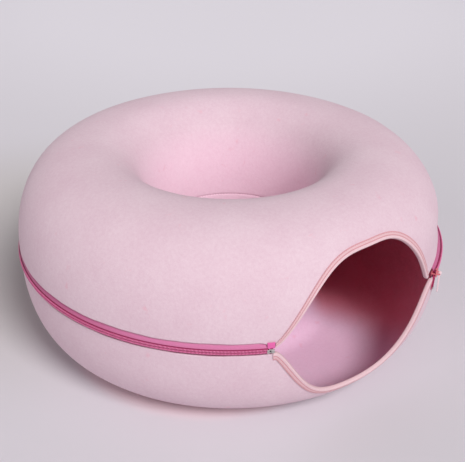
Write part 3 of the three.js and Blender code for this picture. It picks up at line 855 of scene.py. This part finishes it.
for name, half in HALVES.items():
    grid, uv = tape_grid(name)
    meshes = [skin(f"tape_{name}", grid, uv=uv)]
    band_faces = len(meshes[0].polygons)
    length = math.radians(360.0 + half["tape_end"] - TAPE_RIGHT) * OUTER_RADIUS * METRE
    if name == "lower":
        tail, tail_uv = strip_grid(TAPE_TAIL)
        meshes.append(skin("tape_tail", tail, uv=tail_uv))
    mesh = joined(f"tape_{name}", meshes)
    tape = fit(f"tape_{name}", mesh, [zip_cloth, painted_shade_tail_cloth], "zip_tape", f"zip_tape_{name}")
    paint_faces(tape.data, range(band_faces, len(tape.data.polygons)), 1)
    angle = np.linspace(TAPE_RIGHT + 0.6, 358.0 + COIL_LEFT, 500)
    row = line_on_felt(angle, half["side"] * (COIL_OUTER + 0.35), 0.1)
    sewing = sew(f"tape_sewing_{name}", [row], TAPE_STITCH, 0.0, tape_thread, "zip_tape")
    width = (float(np.median(cut_edge(half, angle))) + TAPE_TUCK + TAPE_TURN) * METRE

# Zip coils. Each half's teeth are one coiled nylon wire: a row of small loops sewn along
# its tape, which lock between the other half's along the zip line.
TOOTH_PITCH, TOOTH_WIRE = 1.6, 0.45
# A loop's points: how far along the zip, off it and out of the felt each is
TOOTH_POINTS = {"Head": (0.0, 0.7, 1.1), "Arch": (0.225, 1.5, 2.75), "Foot": (0.45, 2.6, 0.95)}


def build_teeth():
    """Loops of coiled wire along a line; each arches from its head to the tape."""
    sizes = {"Head": VECTOR, "Arch": VECTOR, "Foot": VECTOR, "Wire": FLOAT}
    tree, given, made, points, lying = begin_row("coil_teeth", sizes)
    wire = result(tree, "GeometryNodeCurveQuadraticBezier", {
        "Resolution": 5, "Start": given["Head"], "Middle": given["Arch"], "End": given["Foot"],
    })
    profile = result(
        tree, "GeometryNodeCurvePrimitiveCircle", {"Resolution": 6, "Radius": given["Wire"]},
    )
    tooth = result(
        tree, "GeometryNodeCurveToMesh", {"Curve": wire, "Profile Curve": profile, "Fill Caps": True},
    )
    return end_row(tree, given, made, points, tooth, lying)


coil_teeth = build_teeth()


def nylon_material(name, light, deep):
    material, tree, shader = new_material(name, 0.38, Specular_IOR_Level=0.45)
    # The nylon takes the zip's painted shade away from the front corner
    clouded(tree, shader, 300.0, 2.0, paint(*deep), paint(*light), 0.15, painted_shade_off_corner)
    return material


coil_nylon = nylon_material("coil_nylon", (250, 152, 198), (228, 120, 168))
# A dark copy of the nylon, painted shade for the bar under the loops and the coil's tail
painted_shade_cord = nylon_material("painted_shade_cord", (178, 60, 108), (150, 44, 88))
COIL_TAIL = (
    (-1.2, 29.95, 30.7, 0.8, 2.0), (-2.9, 29.5, 30.05, 0.8, 2.0), (-4.6, 29.2, 29.7, 1.65, 2.2),
    (-5.9, 29.15, 29.65, 1.7, 2.9), (-18.0, 29.05, 29.55, 1.75, 3.0),
)


def teeth_values(side):
    """The inputs of the row of loops, for the half of the zip on one side."""
    values = {"Pitch": TOOTH_PITCH * METRE, "Wire": TOOTH_WIRE * METRE, "Material": coil_nylon}
    for label, (lean, way, lift) in TOOTH_POINTS.items():
        values[label] = (lean * METRE, side * way * METRE, lift * METRE)
    return values


def coil_core(name):
    """The bed of wire and cord under the loops, as a low bar, painted dark as painted shade between the
    rows.
    """
    half = HALVES[name]
    angle = np.linspace(TAPE_RIGHT, 360.0 + COIL_LEFT, 420)[:, None]
    section = np.array([
        (COIL_INNER, COIL_LOW), (COIL_INNER, 0.9), (0.8, 1.15), (2.6, 1.15), (3.2, 0.9),
        (3.2, COIL_LOW),
    ])
    return skin(name, place(angle, half["side"] * section[:, 0], section[:, 1]))


for name, half in HALVES.items():
    shift = 0.0 if name == "upper" else math.degrees(TOOTH_PITCH / 2 / OUTER_RADIUS)
    angle = np.linspace(TAPE_RIGHT + shift, 360.0 + COIL_LEFT, 640)
    label = f"coil_{name}"
    meshes = [coil_core(name)]
    if name == "lower":
        tail, _ = strip_grid(COIL_TAIL)
        meshes.append(skin("coil_tail", tail))
    # The core and the coil's hanging tail get the dark painted shade
    painted_shade_faces = sum(len(mesh.polygons) for mesh in meshes)
    line = line_on_felt(angle, 0.0, 0.0)
    meshes.append(along_lines(label, [line], coil_teeth, teeth_values(half["side"])))
    mesh = joined(label, meshes)
    coil = fit(label, mesh, [coil_nylon, painted_shade_cord], "zip_coil", f"zip_coil_{name}")
    paint_faces(coil.data, range(len(coil.data.polygons)), 0)
    paint_faces(coil.data, range(painted_shade_faces), 1)

# Ends of the zip. At the left corner of the mouth the upper tape's end is folded over and
# sewn down, and a pressed metal clip with a round dent closes both tapes. A smaller clip is
# pressed on the coil's free end below the slider.
END_TAB = {"left": -26.35, "right": -24.6, "from": 3.7, "to": 12.0, "low": 0.5, "high": 1.3}
STOP = {
    "angle": -25.58, "half_length": 4.4, "half_width": 2.6, "low": 0.6, "high": 2.45,
    "corner": 0.7, "dent": 1.0, "dent_x": -0.4, "rim": 0.05,
}


def end_tab_grid():
    left, right, near, far, low, high = END_TAB.values()
    angle = np.linspace(left, right, 16)[:, None]
    ones = np.ones_like(angle)
    share = np.linspace(0.0, 1.0, 12)
    crown = high - 0.25 * (2 * share - 1) ** 6
    edge = cut_edge(HALVES["upper"], angle)
    arc = np.hstack((blend(far, near, share) * ones, near * ones, edge, 0.5 * (edge + far)))
    lift = np.hstack((crown * ones, low * ones, GAP * ones, GAP * ones))
    side = (angle - left) / (right - left)
    lift = np.where(lift > GAP + 0.3, lift - 0.3 * (2 * side - 1) ** 8, lift)
    return place(angle, arc, lift), tape_map(angle, arc)


grid, uv = end_tab_grid()
TAB_MAGENTA = (244, 112, 180)
tab_cloth = tape_material(
    "zip_end_weave", ((0.0, TAB_MAGENTA), (STRIPE_REACH, TAB_MAGENTA)), 1.1, 1.6,
)
end_tab = fit("end_tab", skin("end_tab", grid, uv=uv), [tab_cloth], "zip_tape", "zip_end_tab")


def seat(angle):
    """Places a hard piece drawn in the zip's own frame: x along it, y up, z out of it."""
    turn = math.radians(angle - 90.0)
    along = Vector((-math.sin(turn), math.cos(turn), 0.0))
    out = Vector((math.cos(turn), math.sin(turn), 0.0))
    basis = Matrix((along, Vector((0.0, 0.0, 1.0)), out)).transposed().to_4x4()
    return Matrix.Translation(Vector(place(angle, 0.0, 0.0))) @ basis @ Matrix.Scale(METRE, 4)


SHARP, HARD_CREASE = math.radians(25), math.radians(42)


def block(outline, low, high, softness):
    """A plate of an outline with softened edges, drawn in millimetres."""
    shape = bmesh.new()
    base = shape.faces.new([shape.verts.new((x, y, low)) for x, y in outline])
    grown = bmesh.ops.extrude_face_region(shape, geom=[base])["geom"]
    moved = [item for item in grown if isinstance(item, bmesh.types.BMVert)]
    bmesh.ops.translate(shape, verts=moved, vec=(0.0, 0.0, high - low))
    bmesh.ops.recalc_face_normals(shape, faces=shape.faces)
    sharp = [edge for edge in shape.edges if edge.calc_face_angle(0.0) > SHARP]
    bmesh.ops.bevel(
        shape, geom=sharp, offset=softness, segments=3, profile=0.6, affect="EDGES",
        clamp_overlap=True,
    )
    mesh = bpy.data.meshes.new("block")
    shape.to_mesh(mesh)
    shape.free()
    return mesh


def hard_piece(name, meshes, angle, materials, slot, node):
    mesh = joined(name, meshes)
    mesh.transform(seat(angle))
    mesh.shade_smooth()
    mesh.set_sharp_from_angle(angle=HARD_CREASE)
    return fit(name, mesh, materials, slot, node)


def rectangle(x0, x1, y0, y1):
    return [(x0, y0), (x1, y0), (x1, y1), (x0, y1)]


def ring(centre, inner, outer, low, high, axis="z"):
    """A disc with a round hole, from low to high along its axis."""
    turn = circle(24)
    rings = []
    for radius, way in ((inner, high), (outer, high), (outer, low), (inner, low)):
        point = (radius * np.cos(turn), radius * np.sin(turn), way + 0 * turn)
        rings.append(np.column_stack(point if axis == "z" else point[::-1]) + centre)
    return skin("ring", np.stack(rings, axis=1), closed=True)


WEAR = 0.3


def metal_material(name, colour, roughness):
    material, tree, shader = new_material(name, roughness, Metallic=1.0)
    wear = clouded(tree, shader, 500.0, 4.0, deepened(colour, 0.7), paint(*colour), 0.1)
    rough = math_node(tree, "MULTIPLY_ADD", wear, WEAR, roughness - WEAR / 2)
    tree.links.new(rough, shader.inputs["Roughness"])
    return material


stop_metal = metal_material("stop_metal", (222, 221, 216), 0.35)
dent_painted_shade = metal_material("dent_painted_shade", (52, 48, 52), 0.7)
stop_angle, half_x, half_y, low, high, corner, dent_half, dent_x, rim = STOP.values()
stop_outline = [
    (corner - half_x, -half_y), (half_x - corner, -half_y), (half_x, corner - half_y),
    (half_x, half_y - corner), (half_x - corner, half_y), (corner - half_x, half_y),
    (-half_x, half_y - corner), (-half_x, corner - half_y),
]
dent_floor, rail = low + 0.3, 1.2
# A dark disc sits in the dent as painted shade
dent_outline = [(dent_x + dent_half * math.cos(t), dent_half * math.sin(t)) for t in circle(20)]
dent = block(dent_outline, dent_floor - 0.1, dent_floor + 0.1, 0.04)
shade_disc_faces = len(dent.polygons)
end_stop = hard_piece("end_stop", [
    dent,
    block(stop_outline, low, dent_floor, 0.2),
    ring((dent_x, 0.0, low), dent_half, half_y - rim, 0.0, dent_floor),
    block(rectangle(-half_x, dent_x - rail, -half_y, half_y), low, high, 0.35),
    block(rectangle(dent_x + rail, half_x, -half_y, half_y), low, high, 0.35),
], stop_angle, [stop_metal, dent_painted_shade], "zip_stop", "zip_end_stop")
paint_faces(end_stop.data, range(shade_disc_faces), 1)  # the disc in the dent is painted dark, painted shade
TAIL_CLIP = ((-18.4, 28.95, 29.65, 1.75, 3.2), (-21.5, 28.9, 29.6, 1.75, 3.2))
tail, _ = strip_grid(TAIL_CLIP, count=8, sides=16)
fit("tail_stop", skin("tail_stop", tail), [stop_metal], "zip_stop", "zip_tail_stop")

# Zip slider and puller. A cast slider, lacquered coral: two plates joined by a post hold
# the coils between their flanges, and a bridge carries a thin pale pink puller by its
# rolled eye, hanging straight down.
SLIDER = {
    "angle": 30.6, "half_length": 6.0, "half_width": 4.9, "above": 2.5, "plate": 1.3,
    "below": -3.3, "inner_plate": 0.9, "inner_length": 0.95, "inner_width": 0.74,
}
FLANGE_LENGTH, FLANGE_EDGES, FLANGE_LOW = (-0.6, 3.3), (3.9, 4.8), 0.75
POST_OUTLINE = rectangle(-5.4, -3.6, -0.9, 0.9)
BRIDGE = {"half_length": 3.85, "half_width": 0.85, "half_thickness": 0.55, "top": 6.65, "bend": 1.4}
PULLER = {
    "length": 28.0, "half_width": 3.8, "corner": 2.2, "shoulder": 5.5, "half_thickness": 0.6,
    "eye_half": 2.5, "inner": 1.35, "outer": 2.45,
}


def slider_outline(length, width):
    """The waisted shield that both plates have."""
    right = [
        (-1.0, 0.5), (-0.9, 0.8), (-0.7, 0.97), (-0.3, 1.0), (0.1, 0.96), (0.45, 0.98),
        (0.8, 0.92), (0.97, 0.72), (1.0, 0.4),
    ]
    left = [(x, -y) for x, y in reversed(right)]
    return [(x * length, y * width) for x, y in left + right][::-1]


def swept_bar(path, half_width, half_thickness):
    """A flat bar with rounded sides along a path in the zip's x and z."""
    path = np.array(path, float)
    along = headings(path)
    normal = np.column_stack((-along[:, 1], along[:, 0]))
    turn = circle(12) + math.pi / 12
    across = half_width * squared(np.cos(turn), 0.5)
    up = half_thickness * squared(np.sin(turn), 0.5)
    x = path[:, 0:1] + normal[:, 0:1] * up
    z = path[:, 1:2] + normal[:, 1:2] * up
    return skin("bar", np.stack((x, across + 0.0 * x, z), axis=-1))


def lacquer_material(name, colour, deep, metallic, roughness):
    material, tree, shader = new_material(
        name, roughness, Metallic=metallic, Coat_Weight=0.35, Coat_Roughness=0.15,
    )
    clouded(tree, shader, 700.0, 3.0, paint(*deep), paint(*colour), 0.06)
    return material


coral = lacquer_material("slider_lacquer", (242, 142, 150), (228, 110, 124), 0.15, 0.35)
wide, long = SLIDER["half_width"], SLIDER["half_length"]
above, below, plate = SLIDER["above"], SLIDER["below"], SLIDER["plate"]
mid_plate = above + plate / 2
inner_outline = slider_outline(SLIDER["inner_length"] * long, SLIDER["inner_width"] * wide)
parts = [
    block(slider_outline(long, wide), above, above + plate, 0.4),
    block(inner_outline, below, below + SLIDER["inner_plate"], 0.3),
    block(POST_OUTLINE, below + 0.3, mid_plate, 0.3),
]
for side in (-1, 1):
    edges = sorted(side * edge for edge in FLANGE_EDGES)
    parts.append(block(rectangle(*FLANGE_LENGTH, *edges), FLANGE_LOW, mid_plate, 0.25))
reach, top, bend = BRIDGE["half_length"], BRIDGE["top"], BRIDGE["bend"]
arch = [(-reach, mid_plate), (-reach, top - 2.0)]
arch += [
    (-reach + bend * (1 - math.cos(t)), top - bend * (1 - math.sin(t)))
    for t in np.linspace(0.0, math.pi / 2, 7)
]
arch += [(-x, z) for x, z in reversed(arch)]
parts.append(swept_bar(arch, BRIDGE["half_width"], BRIDGE["half_thickness"]))
hard_piece("slider", parts, SLIDER["angle"], [coral], "zip_slider", "zip_slider")

pale = lacquer_material("puller_lacquer", (252, 226, 230), (246, 210, 216), 0.0, 0.4)
length, half_w, corner, shoulder, half_t, eye_half, inner, outer = PULLER.values()
corner_x, corner_y = half_w - corner, corner - length
strap = [(-eye_half, 0.4 - outer), (-half_w, -shoulder)]
strap += [
    (-corner_x - corner * math.cos(t), corner_y - corner * math.sin(t))
    for t in np.linspace(0.0, math.pi / 2, 7)
]
strap += [(-x, y) for x, y in reversed(strap)]
hard_piece("puller", [
    block(strap, top - half_t, top + half_t, 0.3),
    ring((0.0, 0.0, top), inner, outer, -eye_half, eye_half, axis="x"),
], SLIDER["angle"], [pale], "zip_puller", "zip_puller")

# Floor. A plain pale studio floor that runs on behind the bed. It is painted a little greyer
# beside the bed as painted shadow, brighter far behind it as painted light, and tinged pink close
# under it as painted light thrown off the felt.
FLOOR_HALF = 6.0
FLOOR_SHADE = (219, 214, 220)
FLOOR_PAINTED_LIGHT = (  # a centre, how far the shade is full and reaches, and the shade
    ((-0.2, 0.36, 0.0), 0.15, 0.5, (204, 198, 198)),
    ((1.0, 1.43, 0.0), 0.5, 1.4, (233, 228, 235)),
    ((-0.06, -0.04, 0.0), 0.185, 0.21, (234, 216, 221)),
)
floor_mesh = bpy.data.meshes.new("floor")
floor_outline = rectangle(-FLOOR_HALF, FLOOR_HALF, -FLOOR_HALF, FLOOR_HALF)
floor_mesh.from_pydata([(x, y, 0.0) for x, y in floor_outline], [], [(0, 1, 2, 3)])
floor_paper, tree, shader = new_material("floor_paper", 0.9, Specular_IOR_Level=0.2)
at = on_object(tree)
shade = paint(*FLOOR_SHADE)
for centre, near, far, colour in FLOOR_PAINTED_LIGHT:
    share = zone(tree, at, centre, (1.0, 1.0, 0.0), near, far)
    shade = mixed(tree, share, shade, paint(*colour))
tree.links.new(shade, shader.inputs["Base Color"])
floor_mesh.materials.append(floor_paper)
put("floor", floor_mesh)

# Studio light. The main light comes from the right of the camera, high in front, and shines
# into the mouth. A wide weak one from the left fills the shadows, and the surround is pale.
# Each lamp's angle round the bed, its height, spread and strength
LAMPS = {"key_lamp": (-2.0, 45.0, 24.0, 2.4), "fill_lamp": (-90.0, 15.0, 60.0, 0.55)}
LAMP_AWAY = 3.0
SURROUND, SURROUND_STRENGTH = (244, 242, 246), 0.3
for name, (azimuth, height, spread, strength) in LAMPS.items():
    light = bpy.data.lights.new(name, "SUN")
    light.energy = strength
    light.angle = math.radians(spread)
    turn, rise = math.radians(azimuth), math.radians(height)
    toward = Vector((
        math.sin(turn) * math.cos(rise), -math.cos(turn) * math.cos(rise), math.sin(rise),
    ))
    holder = put(name, light)
    holder.location = toward * LAMP_AWAY
    holder.rotation_euler = toward.to_track_quat("Z", "Y").to_euler()

world = bpy.data.worlds.new("surround")
world.use_nodes = True
background = world.node_tree.nodes["Background"]
background.inputs["Color"].default_value = paint(*SURROUND)
background.inputs["Strength"].default_value = SURROUND_STRENGTH
scene.world = world
scene.view_settings.view_transform = "Standard"

# Camera. It stands where the photograph was taken from, in metres, and its lens gives the
# photograph's angle of view.
CAMERA_AT = (-0.6355, -0.9274, 0.7569)
CAMERA_FORWARD, CAMERA_RIGHT = (0.49766, 0.71554, -0.49025), (0.82145, -0.57028, 0.00151)
CAMERA_LENS, CAMERA_WIDTH, CAMERA_REACH = 67.94, 36.0, 50.0
forward = Vector(CAMERA_FORWARD).normalized()
right = Vector(CAMERA_RIGHT).normalized()
camera_data = bpy.data.cameras.new("camera")
camera_data.lens = CAMERA_LENS
camera_data.sensor_width = CAMERA_WIDTH
camera_data.clip_end = CAMERA_REACH
camera = put("camera", camera_data)
facing = Matrix((right, right.cross(forward), -forward)).transposed().to_4x4()
camera.matrix_world = Matrix.Translation(Vector(CAMERA_AT)) @ facing
scene.camera = camera
